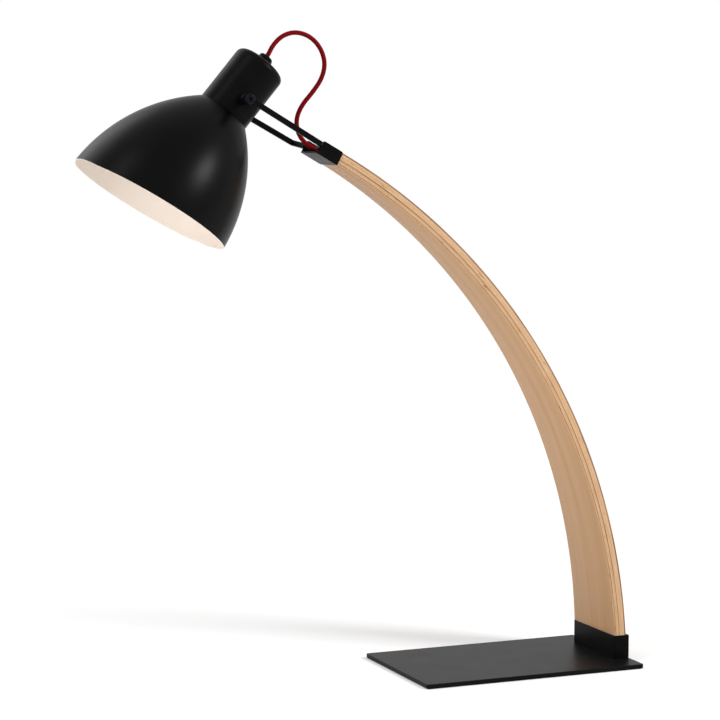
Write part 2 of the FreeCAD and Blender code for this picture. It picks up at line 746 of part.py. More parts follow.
def head_flex():
    """Tube of straight runs joined by tangent arcs along the free loop's points."""
    points = [Vector(*p) for p in flex_route]
    runs = [(b - a).Length for a, b in zip(points, points[1:])]
    edges = []
    start = points[0]
    for k in range(1, len(points) - 1):
        before = (points[k] - points[k - 1]).normalize()
        after = (points[k + 1] - points[k]).normalize()
        half_turn = before.getAngle(after) / 2
        cut = flex_run_share * min(runs[k - 1], runs[k])
        radius = cut / math.tan(half_turn)
        print("flex point", k, "turn", round(math.degrees(2 * half_turn), 1), "radius", round(radius, 1))
        arc_start = points[k] - before * cut
        arc_end = points[k] + after * cut
        outward = (before - after).normalize()
        middle = points[k] - outward * (radius / math.cos(half_turn) - radius)
        edges.append(Part.LineSegment(start, arc_start).toShape())
        edges.append(Part.Arc(arc_start, middle, arc_end).toShape())
        start = arc_end
    edges.append(Part.LineSegment(start, points[-1]).toShape())
    return tube_along(edges, (points[1] - points[0]).normalize())


def arm_flex():
    """The flex inside the arm's channel, down to the grommet."""
    first = arm_bracket_angle + flex_join_angle
    last = channel_foot_angle
    foot = arch_point(arm_mid_radius, last)
    lean = math.radians(last)
    down = Vector(math.sin(lean), 0, -math.cos(lean))
    back = Vector(math.cos(lean), 0, math.sin(lean))
    corner = foot + down * flex_foot_bend
    centre = foot + back * flex_foot_bend
    diagonal = (corner - centre).normalize()
    end = corner + back * flex_foot_bend
    arch = Part.Arc(arch_point(arm_mid_radius, first), arch_point(arm_mid_radius, (first + last) / 2), foot)
    bend = Part.Arc(foot, centre + diagonal * flex_foot_bend, end)
    tangent = math.radians(first)
    direction = Vector(math.sin(tangent), 0, -math.cos(tangent))
    return tube_along([arch.toShape(), bend.toShape()], direction)


# ---- bulb, in the head frame ----
def bulb_outline(wall):
    """The glass's outline drawn in by a wall: globe, hollow flank tangent to it, straight neck."""
    centre = Vector(0, 0, bulb_top - bulb_length + bulb_radius)
    rise = bulb_cap_bottom - centre.z
    spread = bulb_radius - bulb_neck_radius
    flank_radius = (rise ** 2 / spread - bulb_radius - bulb_neck_radius) / 2
    flank_centre = Vector(bulb_neck_radius + flank_radius, 0, bulb_cap_bottom)
    towards = (flank_centre - centre).normalize()
    globe = bulb_radius - wall
    joint = centre + towards * globe
    pole = centre - Z * globe
    lean = math.atan2(towards.z, towards.x)
    middle = (lean - math.pi / 2) / 2
    side = centre + Vector(math.cos(middle), 0, math.sin(middle)) * globe
    collar = flank_centre - X * (flank_radius + wall)
    hollow = flank_centre - (X * math.cos(lean / 2) + Z * math.sin(lean / 2)) * (flank_radius + wall)
    rim = collar + Z * bulb_neck_in_cap
    return [Part.Arc(pole, side, joint).toShape(), Part.Arc(joint, hollow, collar).toShape(),
            Part.makeLine(collar, rim)], pole, rim


def bulb_glass():
    outer, pole, rim = bulb_outline(0)
    inner, inner_pole, inner_rim = bulb_outline(bulb_wall)
    return turned(outer + inner + [Part.makeLine(pole, inner_pole), Part.makeLine(rim, inner_rim)])


def bulb_cap():
    """Screw cap with its thread drawn as ridges."""
    thread_start = bulb_cap_bottom + bulb_cap_skirt
    pitch = (bulb_cap_length - bulb_cap_skirt) / (thread_turns + 1)
    seat = bulb_neck_radius + thread_clearance
    bore = seat - 2 * thread_clearance - bulb_cap_wall
    neck_stop = bulb_cap_bottom + bulb_neck_in_cap + seat_clearance
    outside = [(seat, bulb_cap_bottom), (bulb_cap_radius, bulb_cap_bottom), (bulb_cap_radius, thread_start)]
    for k in range(thread_turns):
        outside.append((bulb_cap_radius - thread_depth, thread_start + (k + 0.5) * pitch))
        outside.append((bulb_cap_radius, thread_start + (k + 1) * pitch))
    top = [(bulb_cap_radius - bulb_cap_shoulder, bulb_cap_top), (insulator_radius, bulb_cap_top),
           (insulator_radius, bulb_cap_top - bulb_cap_wall), (bore, bulb_cap_top - bulb_cap_shoulder),
           (bore, neck_stop), (seat, neck_stop)]
    return turned_polygon(outside + top)


def bulb_insulator():
    top = bulb_cap_top + insulator_height
    foot = insulator_radius - running_gap
    return turned_polygon([(insulator_bore, bulb_cap_top), (foot, bulb_cap_top), (insulator_top, top),
                           (insulator_bore, top)])


def bulb_contact():
    top = bulb_cap_top + insulator_height
    foot = bulb_cap_top + seat_clearance
    stem = rod(insulator_bore - running_gap, Z * foot, Z, top - foot)
    button = turned_polygon([(0, top), (bulb_contact_radius, top),
                             (bulb_contact_radius - bulb_contact_bevel, bulb_top), (0, bulb_top)])
    return stem.fuse(button).removeSplitter()


def main():
    os.makedirs("parts", exist_ok=True)
    for make in (base_pad, base_plate, arm_shoe, shoe_screws, arm_screws, lead_grommet, arm, arm_flex,
                 fork_bracket, bracket_screws, head_flex):
        save(make.__name__, make())
    save("fork_arm_left", fork_arm(1))
    save("fork_arm_right", fork_arm(-1))
    for make in (pivot_screws, pivot_spacers, pivot_washers, pivot_nuts, socket_cup, shade, holder_cap,
                 holder_body, holder_insert, holder_shell, holder_contact, shade_ring, holder_nipple,
                 nipple_nut, cord_gland, gland_screw, bulb_glass, bulb_cap, bulb_insulator, bulb_contact):
        piece = make()
        piece.Placement = head_frame
        save(make.__name__, piece)
    print("pivot", pivot, "arch centre", arm_centre)


main()
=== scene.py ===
import bpy
import math
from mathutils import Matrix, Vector


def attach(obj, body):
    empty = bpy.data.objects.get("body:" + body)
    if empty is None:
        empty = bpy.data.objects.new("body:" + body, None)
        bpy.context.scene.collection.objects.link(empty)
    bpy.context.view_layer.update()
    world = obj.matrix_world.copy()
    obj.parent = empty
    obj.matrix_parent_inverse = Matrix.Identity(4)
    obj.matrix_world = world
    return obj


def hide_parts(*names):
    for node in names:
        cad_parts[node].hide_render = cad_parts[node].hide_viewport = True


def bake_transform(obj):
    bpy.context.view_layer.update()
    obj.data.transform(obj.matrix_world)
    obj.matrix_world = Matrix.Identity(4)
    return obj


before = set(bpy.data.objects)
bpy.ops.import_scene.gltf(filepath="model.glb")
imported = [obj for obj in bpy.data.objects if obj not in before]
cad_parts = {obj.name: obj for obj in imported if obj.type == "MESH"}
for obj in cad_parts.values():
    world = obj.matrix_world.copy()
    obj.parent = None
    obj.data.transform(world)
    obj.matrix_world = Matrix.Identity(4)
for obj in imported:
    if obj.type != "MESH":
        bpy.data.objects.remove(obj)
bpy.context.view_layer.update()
bpy.ops.object.select_all(action="DESELECT")
scene = bpy.context.scene

shot = {
    "place": (-1.21475, -2.48949, 0.61874), "aim": (0.3834, 0.9183, -0.0990), "lens": 124.78, "sensor": 36.0,
    "near": 0.1, "far": 60.0,
}
bpy.ops.object.camera_add(location=shot["place"])
camera = bpy.context.object
camera.name = "studioCamera"
camera.rotation_euler = Vector(shot["aim"]).to_track_quat("-Z", "Y").to_euler()
camera.data.lens = shot["lens"]
camera.data.sensor_width = shot["sensor"]
camera.data.clip_start = shot["near"]
camera.data.clip_end = shot["far"]
scene.camera = camera
print("camera placed")


def addNode(tree, kind, inputs=None, **settings):
    node = tree.nodes.new("ShaderNode" + kind)
    for key, value in settings.items():
        setattr(node, key, value)
    for key, value in (inputs or {}).items():
        if isinstance(value, bpy.types.NodeSocket):
            tree.links.new(value, node.inputs[key])
        else:
            node.inputs[key].default_value = value
    return node


def calculate(tree, operation, a, b=0.0):
    return addNode(tree, "Math", {0: a, 1: b}, operation=operation).outputs[0]


# what runs from low to high comes out from newLow to newHigh, and goes no further
def stretch(tree, value, low, high, newLow, newHigh):
    return addNode(tree, "MapRange", {"Value": value, 1: low, 2: high, 3: newLow, 4: newHigh}).outputs[0]


def colorRamp(tree, factor, stops):
    node = addNode(tree, "ValToRGB", {"Fac": factor})
    ramp = node.color_ramp
    while len(ramp.elements) < len(stops):
        ramp.elements.new(0.5)
    for element, (place, color) in zip(ramp.elements, stops):
        element.position = place
        element.color = (*color, 1.0)
    return node.outputs["Color"]


def mixColor(tree, factor, a, b, blend="MIX"):
    node = addNode(tree, "Mix", {"Factor": factor}, data_type="RGBA", blend_type=blend)
    for key, value in ((6, a), (7, b)):  # the two colour inputs
        if isinstance(value, bpy.types.NodeSocket):
            tree.links.new(value, node.inputs[key])
        else:
            node.inputs[key].default_value = (*value, 1.0)
    return node.outputs[2]


def noise(tree, vector, scale, detail, roughness=0.5, distortion=0.0):
    inputs = {"Vector": vector, "Scale": scale, "Detail": detail, "Roughness": roughness,
              "Distortion": distortion}
    return addNode(tree, "TexNoise", inputs).outputs["Fac"]


def newMaterial(name, sockets):
    material = bpy.data.materials.new(name)
    material.use_nodes = True
    tree = material.node_tree
    shader = tree.nodes["Principled BSDF"]
    for key, value in sockets.items():
        shader.inputs[key].default_value = value
    return material, tree, shader


def objectPlace(tree, shift=(0, 0, 0)):
    place = addNode(tree, "TexCoord").outputs["Object"]
    return addNode(tree, "Mapping", {"Vector": place, "Location": shift}).outputs["Vector"]


def addBump(tree, shader, height, strength, distance):
    bump = addNode(tree, "Bump", {"Height": height, "Strength": strength, "Distance": distance})
    tree.links.new(bump.outputs["Normal"], shader.inputs["Normal"])


speckle = {"cloudDetail": 3.0, "fineDetail": 2.0, "lowAt": 0.35, "highAt": 0.65}
# two tones and a range of roughness, the scales of their cloud and of the fine grain, and the grain's height
plainFinishes = {
    "steelCoat": {
        "tones": [(0.0013, 0.0013, 0.0015), (0.002, 0.002, 0.0022)], "rough": (0.32, 0.38),
        "cloud": 60.0, "fine": 2200.0, "height": 0.00003, "sockets": {"IOR": 1.1, "Specular IOR Level": 0.8}},
    "plateCoat": {
        "tones": [(0.0018, 0.0018, 0.002), (0.0028, 0.0028, 0.003)], "rough": (0.36, 0.42),
        "cloud": 30.0, "fine": 2600.0, "height": 0.00003, "sockets": {"Specular IOR Level": 0.068}},
    "shadeCoat": {
        "tones": [(0.0011, 0.0011, 0.0013), (0.0016, 0.0016, 0.0018)], "rough": (0.315, 0.34),
        "cloud": 25.0, "fine": 3000.0, "height": 0.00002, "sockets": {"IOR": 1.1, "Specular IOR Level": 1.0}},
    "shadeInside": {
        "tones": [(0.93, 0.83, 0.74), (0.95, 0.86, 0.77)], "rough": (0.45, 0.55),
        "cloud": 30.0, "fine": 2500.0, "height": 0.00002, "sockets": {"Specular IOR Level": 0.3}},
    "blackScrew": {
        "tones": [(0.002, 0.002, 0.004), (0.005, 0.005, 0.009)], "rough": (0.26, 0.36),
        "cloud": 400.0, "fine": 4000.0, "height": 0.00002, "sockets": {"Specular IOR Level": 0.07}},
    "zinc": {
        "tones": [(0.50, 0.51, 0.53), (0.62, 0.63, 0.65)], "rough": (0.25, 0.4),
        "cloud": 300.0, "fine": 5000.0, "height": 0.00002, "sockets": {"Metallic": 1.0}},
    "brass": {
        "tones": [(0.62, 0.44, 0.18), (0.74, 0.55, 0.26)], "rough": (0.2, 0.35),
        "cloud": 200.0, "fine": 5000.0, "height": 0.00002, "sockets": {"Metallic": 1.0}},
    "nickel": {
        "tones": [(0.62, 0.60, 0.56), (0.72, 0.70, 0.66)], "rough": (0.16, 0.3),
        "cloud": 200.0, "fine": 5000.0, "height": 0.00001, "sockets": {"Metallic": 1.0}},
    "rubber": {
        "tones": [(0.012, 0.012, 0.012), (0.02, 0.02, 0.02)], "rough": (0.7, 0.85),
        "cloud": 150.0, "fine": 2500.0, "height": 0.00005, "sockets": {"Specular IOR Level": 0.3}},
    "padFoam": {
        "tones": [(0.012, 0.012, 0.012), (0.03, 0.03, 0.03)], "rough": (0.85, 0.95),
        "cloud": 900.0, "fine": 1800.0, "height": 0.0002, "sockets": {"Specular IOR Level": 0.2}},
    "holderPlastic": {
        "tones": [(0.014, 0.013, 0.012), (0.02, 0.019, 0.018)], "rough": (0.4, 0.5),
        "cloud": 80.0, "fine": 3500.0, "height": 0.00003, "sockets": {}},
    "porcelain": {
        "tones": [(0.78, 0.76, 0.71), (0.84, 0.82, 0.78)], "rough": (0.15, 0.25),
        "cloud": 90.0, "fine": 1200.0, "height": 0.00003, "sockets": {}},
    "capGlass": {
        "tones": [(0.01, 0.01, 0.014), (0.03, 0.03, 0.036)], "rough": (0.08, 0.16),
        "cloud": 200.0, "fine": 1500.0, "height": 0.00002, "sockets": {}},
    "fibre": {
        "tones": [(0.03, 0.03, 0.032), (0.06, 0.058, 0.056)], "rough": (0.6, 0.75),
        "cloud": 500.0, "fine": 3000.0, "height": 0.00005, "sockets": {}},
    "redSheath": {
        "tones": [(0.16, 0.0, 0.004), (0.24, 0.001, 0.007)], "rough": (0.65, 0.8),
        "cloud": 700.0, "fine": 2500.0, "height": 0.00006, "sockets": {"Specular IOR Level": 0.15}},
    "opalGlass": {
        "tones": [(0.86, 0.85, 0.83), (0.89, 0.88, 0.86)], "rough": (0.12, 0.2),
        "cloud": 40.0, "fine": 900.0, "height": 0.00001, "sockets": {}},
}


def speckledMaterial(name, look):
    material, tree, shader = newMaterial(name, look["sockets"])
    place = objectPlace(tree)
    cloud = noise(tree, place, look["cloud"], speckle["cloudDetail"])
    fine = noise(tree, place, look["fine"], speckle["fineDetail"])
    low, high = look["tones"]
    tone = colorRamp(tree, cloud, [(speckle["lowAt"], low), (speckle["highAt"], high)])
    tree.links.new(tone, shader.inputs["Base Color"])
    tree.links.new(stretch(tree, cloud, 0.0, 1.0, *look["rough"]), shader.inputs["Roughness"])
    addBump(tree, shader, fine, 1.0, look["height"])
    return material


finishes = {name: speckledMaterial(name, look) for name, look in plainFinishes.items()}


wood = {
    "centre": (-0.5329955, 0.0, -0.0008), "innerRadius": 0.6488, "thickness": 0.014,
    "faceLight": (0.625, 0.375, 0.20), "faceDark": (0.555, 0.315, 0.152), "facePore": (0.42, 0.25, 0.13),
    "edgeLight": (0.625, 0.41, 0.243), "edgeDark": (0.445, 0.248, 0.112), "glueAndShadeColor": (0.14, 0.055, 0.016),
    "fleck": (0.14, 0.06, 0.02),
    "specular": 0.25, "rough": (0.42, 0.56), "reliefStrength": 0.5, "reliefHeight": 0.00008, "lineDip": 0.8,
    # each dark line: its depth and half thickness as shares of the arm's thickness, and its strength; the
    # first four are glue lines, and the last, by the convex face, is painted shade on the rounded edge
    "glueAndShadeLines": [(0.105, 0.055, 0.7), (0.30, 0.016, 0.45), (0.42, 0.050, 0.9), (0.66, 0.014, 0.25),
                  (0.93, 0.080, 1.0)],
    "lineCore": 0.55,  # share of a line's half thickness that is at full strength
    "faceEnds": (0.008, 0.02),  # shares of the thickness between which the face gives way to the edge
    # scales run along the arch, across it and through it, and a range says what becomes of a grain's values
    "grains": {
        "bands": {"scale": (1.1, 46.0, 60.0), "detail": 2.0, "rough": 0.5, "warp": 0.15,
                  "range": (0.3, 0.7, 0.0, 1.0)},
        "broad": {"scale": (5.0, 230.0, 230.0), "detail": 3.0, "rough": 0.6, "warp": 0.0,
                  "range": (0.3, 0.7, 0.93, 1.04)},
        "fibres": {"scale": (14.0, 900.0, 900.0), "detail": 4.0, "rough": 0.6, "warp": 0.0,
                   "range": (0.3, 0.75, 0.88, 1.04)},
        "pores": {"scale": (90.0, 1600.0, 1600.0), "detail": 2.0, "rough": 0.5, "warp": 0.0,
                  "range": (0.66, 0.74, 0.0, 0.35)},
        "wobble": {"scale": (9.0, 60.0, 0.1), "detail": 2.0, "rough": 0.5, "warp": 0.0,
                   "range": (0.0, 1.0, -0.0225, 0.0225)},
        "blotches": {"scale": (38.0, 25.0, 620.0), "detail": 3.0, "rough": 0.6, "warp": 0.4,
                     "range": (0.32, 0.68, 0.0, 0.55)},
        "endGrain": {"scale": (420.0, 5.0, 1300.0), "detail": 3.0, "rough": 0.6, "warp": 0.0,
                     "range": (0.3, 0.7, 0.0, 0.35)},
        "uneven": {"scale": (16.0, 30.0, 300.0), "detail": 3.0, "rough": 0.5, "warp": 0.0,
                   "range": (0.3, 0.7, 0.6, 1.0)},
        "flecks": {"scale": (85.0, 40.0, 800.0), "detail": 1.0, "rough": 0.5, "warp": 0.0,
                   "range": (0.70, 0.73, 0.0, 0.8)},
    },
}


# grain runs round the arch, and glue lines and a band of painted shade lie at set depths from its inner face
def plywoodMaterial():
    material, tree, shader = newMaterial("plywood", {"Specular IOR Level": wood["specular"]})
    place = objectPlace(tree, [-c for c in wood["centre"]])
    axes = addNode(tree, "SeparateXYZ", {0: place}).outputs
    square = calculate(tree, "ADD", calculate(tree, "MULTIPLY", axes["X"], axes["X"]),
                       calculate(tree, "MULTIPLY", axes["Z"], axes["Z"]))
    radius = calculate(tree, "SQRT", square)
    turn = calculate(tree, "ARCTAN2", axes["Z"], axes["X"])
    along = calculate(tree, "MULTIPLY", turn, wood["innerRadius"])
    above = calculate(tree, "SUBTRACT", radius, wood["innerRadius"])
    depth = calculate(tree, "DIVIDE", above, wood["thickness"])
    unrolled = addNode(tree, "CombineXYZ", {0: along, 1: axes["Y"], 2: radius}).outputs[0]

    grain, tone = {}, {}
    for name, row in wood["grains"].items():
        stretched = addNode(tree, "Mapping", {"Vector": unrolled, "Scale": row["scale"]}).outputs[0]
        grain[name] = noise(tree, stretched, 1.0, row["detail"], row["rough"], row["warp"])
        tone[name] = stretch(tree, grain[name], *row["range"])

    face = mixColor(tree, tone["bands"], wood["faceDark"], wood["faceLight"])
    streaks = calculate(tree, "MULTIPLY", tone["fibres"], tone["broad"])
    grey = addNode(tree, "CombineColor", {0: streaks, 1: streaks, 2: streaks}).outputs[0]
    face = mixColor(tree, 1.0, face, grey, "MULTIPLY")
    face = mixColor(tree, tone["pores"], face, wood["facePore"])

    # the edge is mottled, because the cross plies show their ends there
    mottle = calculate(tree, "ADD", tone["blotches"], tone["endGrain"])
    edge = mixColor(tree, mottle, wood["edgeLight"], wood["edgeDark"])
    warped = calculate(tree, "ADD", depth, tone["wobble"])
    # dark lines on the edge: glue lines, and a band of painted shade next to the convex face
    lines = 0.0
    for lineDepth, half, strength in wood["glueAndShadeLines"]:
        gap = calculate(tree, "ABSOLUTE", calculate(tree, "SUBTRACT", warped, lineDepth))
        line = stretch(tree, gap, half * wood["lineCore"], half, strength, 0.0)
        lines = calculate(tree, "MAXIMUM", line, lines)
    edge = mixColor(tree, calculate(tree, "MULTIPLY", lines, tone["uneven"]), edge, wood["glueAndShadeColor"])
    edge = mixColor(tree, tone["flecks"], edge, wood["fleck"])

    fromFace = calculate(tree, "MINIMUM", depth, calculate(tree, "SUBTRACT", 1.0, depth))
    onEdge = stretch(tree, fromFace, *wood["faceEnds"], 0.0, 1.0)
    tree.links.new(mixColor(tree, onEdge, face, edge), shader.inputs["Base Color"])
    tree.links.new(stretch(tree, grain["fibres"], 0.0, 1.0, *wood["rough"]), shader.inputs["Roughness"])
    dips = calculate(tree, "MULTIPLY", lines, wood["lineDip"])
    relief = calculate(tree, "SUBTRACT", grain["fibres"], dips)
    addBump(tree, shader, relief, wood["reliefStrength"], wood["reliefHeight"])
    return material


finishes["plywood"] = plywoodMaterial()


braid = {
    "rough": 0.7, "specular": 0.07,
    # gap and slope are painted shade in the weave; crown is the sheath's own red
    "gap": (0.02, 0.0, 0.0005), "slope": (0.17, 0.0, 0.002), "crown": (0.27, 0.0, 0.004), "slopeAt": 0.55,
    "thread": (0.12, 0.0, 0.0015), "threadShare": 0.45, "threadScale": 2600.0, "threadDetail": 3.0,
    "threadRough": 0.6, "reliefStrength": 0.6, "reliefHeight": 0.00006,
}


# the crown attribute is 1 on the top of a strand and 0 in the gaps of the weave, and the colour darkens from
# crown to gap as painted shade
def braidMaterial():
    sockets = {"Roughness": braid["rough"], "Specular IOR Level": braid["specular"]}
    material, tree, shader = newMaterial("redBraid", sockets)
    crown = addNode(tree, "Attribute", attribute_name="crown").outputs["Fac"]
    place = objectPlace(tree)
    threads = noise(tree, place, braid["threadScale"], braid["threadDetail"], braid["threadRough"])
    # painted shade: darker down the slopes of the strands and darkest in the gaps
    stops = [(0.0, braid["gap"]), (braid["slopeAt"], braid["slope"]), (1.0, braid["crown"])]
    thin = stretch(tree, threads, 0.0, 1.0, 0.0, braid["threadShare"])
    color = mixColor(tree, thin, colorRamp(tree, crown, stops), braid["thread"])
    tree.links.new(color, shader.inputs["Base Color"])
    addBump(tree, shader, threads, braid["reliefStrength"], braid["reliefHeight"])
    return material


finishes["redBraid"] = braidMaterial()
print("materials made:", len(finishes))


def editWhole():
    bpy.ops.object.mode_set(mode="EDIT")
    bpy.ops.mesh.select_mode(type="VERT")
    bpy.ops.mesh.select_all(action="SELECT")


flex = {
    "route": [
        (-0.2882, 0.0, 0.6690), (-0.2809, 0.0, 0.6777), (-0.2757, 0.0002, 0.6882),
        (-0.2650, 0.0005, 0.6988), (-0.2500, 0.0006, 0.7034), (-0.2334, 0.0004, 0.6992),
        (-0.2208, 0.0, 0.6868), (-0.2156, -0.0004, 0.6704), (-0.2196, -0.0006, 0.6540),
        (-0.2304, -0.0005, 0.6393), (-0.2422, -0.0003, 0.6264), (-0.2488, -0.0001, 0.6127),
        (-0.2482, 0.0, 0.5988), (-0.2413, 0.0, 0.5871), (-0.2288, 0.0, 0.5796), (-0.2150, 0.0, 0.5728)],
    "splineOrder": 3, "splineSteps": 24, "diameter": 0.005, "length": 0.227, "around": 48, "ringStep": 0.0003,
    "strands": 12, "strandLength": 0.0018, "strandHeight": 0.00016, "strandPower": 0.55,
}


def readSpline(points):
    curve = bpy.data.curves.new("flexRoute", "CURVE")
    curve.dimensions = "3D"
    spline = curve.splines.new("NURBS")
    spline.points.add(len(points) - 1)
    for point, place in zip(spline.points, points):
        point.co = (*place, 1.0)
    spline.order_u = flex["splineOrder"]
    spline.use_endpoint_u = True
    spline.resolution_u = flex["splineSteps"]
    holder = bpy.data.objects.new("flexRoute", curve)
    mesh = bpy.data.meshes.new_from_object(holder)
    places = [v.co.copy() for v in mesh.vertices]
    bpy.data.objects.remove(holder)
    bpy.data.meshes.remove(mesh)
    return places


# the same line with its points about one step apart
def evenSteps(places, step):
    lengths = [0.0]
    for a, b in zip(places, places[1:]):
        lengths.append(lengths[-1] + (b - a).length)
    count = round(lengths[-1] / step)
    result, k = [], 0
    for n in range(count + 1):
        goal = lengths[-1] * n / count
        while k < len(places) - 2 and lengths[k + 1] < goal:
            k += 1
        share = (goal - lengths[k]) / (lengths[k + 1] - lengths[k])
        result.append(places[k].lerp(places[k + 1], share))
    return result


# strands wind both ways round the flex, and a place is as high as the strands that cross there
def strandCrown(turn, run):
    oneWay = math.sin(math.pi * (flex["strands"] * turn + run / 2))
    otherWay = math.sin(math.pi * (flex["strands"] * turn - run / 2))
    return abs(oneWay * otherWay) ** flex["strandPower"]


# rings stand square to the route and don't turn about it, and both ends are closed
def braidedFlex():
    path = evenSteps(readSpline(flex["route"]), flex["ringStep"])
    around = flex["around"]
    normal = Vector((0, 1, 0))
    vertices, faces, crowns = [], [], []
    for k, place in enumerate(path):
        ahead = (path[min(k + 1, len(path) - 1)] - path[max(k - 1, 0)]).normalized()
        normal = (normal - ahead * normal.dot(ahead)).normalized()
        side = ahead.cross(normal)
        run = k * flex["ringStep"] / flex["strandLength"]
        for n in range(around):
            turn = n / around
            angle = 2 * math.pi * turn
            crown = strandCrown(turn, run)
            radius = flex["diameter"] / 2 - flex["strandHeight"] * (1 - crown)
            vertices.append(place + (normal * math.cos(angle) + side * math.sin(angle)) * radius)
            crowns.append(crown)
        if k:
            first = (k - 1) * around
            for n in range(around):
                m = (n + 1) % around
                faces.append((first + n, first + m, first + around + m, first + around + n))
    faces.append(tuple(range(around))[::-1])
    last = (len(path) - 1) * around
    faces.append(tuple(range(last, last + around)))
    mesh = bpy.data.meshes.new("flexLoop")
    mesh.from_pydata([tuple(v) for v in vertices], [], faces)
    mesh.attributes.new("crown", "FLOAT", "POINT").data.foreach_set("value", crowns)
    mesh.materials.append(finishes["redBraid"])
    piece = bpy.data.objects.new("flexLoop", mesh)
    scene.collection.objects.link(piece)
    bpy.context.view_layer.objects.active = piece
    piece.select_set(True)
    editWhole()
    bpy.ops.mesh.normals_make_consistent(inside=False)
    bpy.ops.object.mode_set(mode="OBJECT")
    bpy.ops.object.shade_smooth()
    piece.select_set(False)
    return piece, path


# the rings are set in a straight row while the piece's transform is baked in, and are then put back where
# they were
def bendAlong(piece):
    vertices = piece.data.vertices
    places = [v.co.copy() for v in vertices]
    for n, v in enumerate(vertices):
        v.co = (n // flex["around"], 0, 0)
    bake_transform(piece)
    for v, place in zip(vertices, places):
        v.co = place


flexLoop, flexPath = braidedFlex()
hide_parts("head_flex")
bendAlong(flexLoop)
print("flex made:", len(flexPath), "rings")


mergeDistance = 1e-6  # metres
nearEnough = 1e-5


def startPiece(name):
    piece = bpy.context.object
    piece.name = name
    piece.data.name = name
    return piece


# the test is given a face's middle, or both ends of an edge
def selectWhere(piece, kind, test):
    bpy.ops.mesh.select_all(action="DESELECT")
    bpy.ops.mesh.select_mode(type=kind)
    bpy.ops.object.mode_set(mode="OBJECT")
    mesh = piece.data
    if kind == "FACE":
        for face in mesh.polygons:
            face.select = test(face.center)
    else:
        for edge in mesh.edges:
            edge.select = test(*(mesh.vertices[v].co for v in edge.vertices))
    bpy.ops.object.mode_set(mode="EDIT")


def applyModifier(piece, kind, **settings):
    modifier = piece.modifiers.new(kind.title(), kind)
    for key, value in settings.items():
        setattr(modifier, key, value)
    bpy.ops.object.modifier_apply(modifier=modifier.name)


def finishPiece(piece, body, node, smoothAngle):
    editWhole()
    bpy.ops.mesh.remove_doubles(threshold=mergeDistance)
    bpy.ops.mesh.normals_make_consistent(inside=False)
    bpy.ops.object.mode_set(mode="OBJECT")
    bpy.ops.object.shade_smooth_by_angle(angle=math.radians(smoothAngle))
    piece.select_set(False)
    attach(piece, body)
    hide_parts(node)
    print("piece made:", piece.name, len(piece.data.polygons), "faces")


# angles along the arm are in degrees round the arch's centre, up from level
arm = {
    "startAngle": 1.9, "bracketAngle": 60.3, "endAngle": 61.436, "steps": 120, "footHalfWidth": 0.0491,
    "slope": 0.02056, "curve": 0.01207, "widthStart": 2.32, "widthSpan": 67.92, "shoeTop": 0.0315,
    "tenonInset": 0.0019, "tenonDepth": 0.0205,
    "rebate": 0.002, "rebateLength": 0.03, "rebateWidth": 0.2, "webProud": 0.0008,
    "channel": 0.0065, "channelLength": 0.03, "channelMiddle": -0.001,
    "edgeRound": 0.0009, "edgeSegments": 3, "edgeAngle": 40.0, "smoothAngle": 35.0,
}


# the arm narrows along a curve from its foot to its end
def armHalfWidth(angle):
    u = (angle - arm["widthStart"]) / arm["widthSpan"]
    return arm["footHalfWidth"] - arm["slope"] * u - arm["curve"] * u * u


# measured from the foot end of the web's underside: down the arm, across it, and out towards its upper face
def bracketPlace(along, across, up):
    angle = math.radians(arm["bracketAngle"])
    sine, cosine = math.sin(angle), math.cos(angle)
    reach = wood["innerRadius"] - arm["webProud"]
    corner = Vector(wood["centre"]) + Vector((cosine, 0, sine)) * reach
    return corner + Vector((along * sine + up * cosine, across, up * sine - along * cosine))


def cutBox(piece, size, middle, turn):
    rotation = (0, math.radians(turn), 0)
    bpy.ops.mesh.primitive_cube_add(size=1.0, location=middle, rotation=rotation, scale=size)
    cutter = bpy.context.object
    cutter.select_set(False)
    bpy.context.view_layer.objects.active = piece
    piece.select_set(True)
    applyModifier(piece, "BOOLEAN", operation="DIFFERENCE", solver="EXACT", object=cutter)
    bpy.data.objects.remove(cutter)


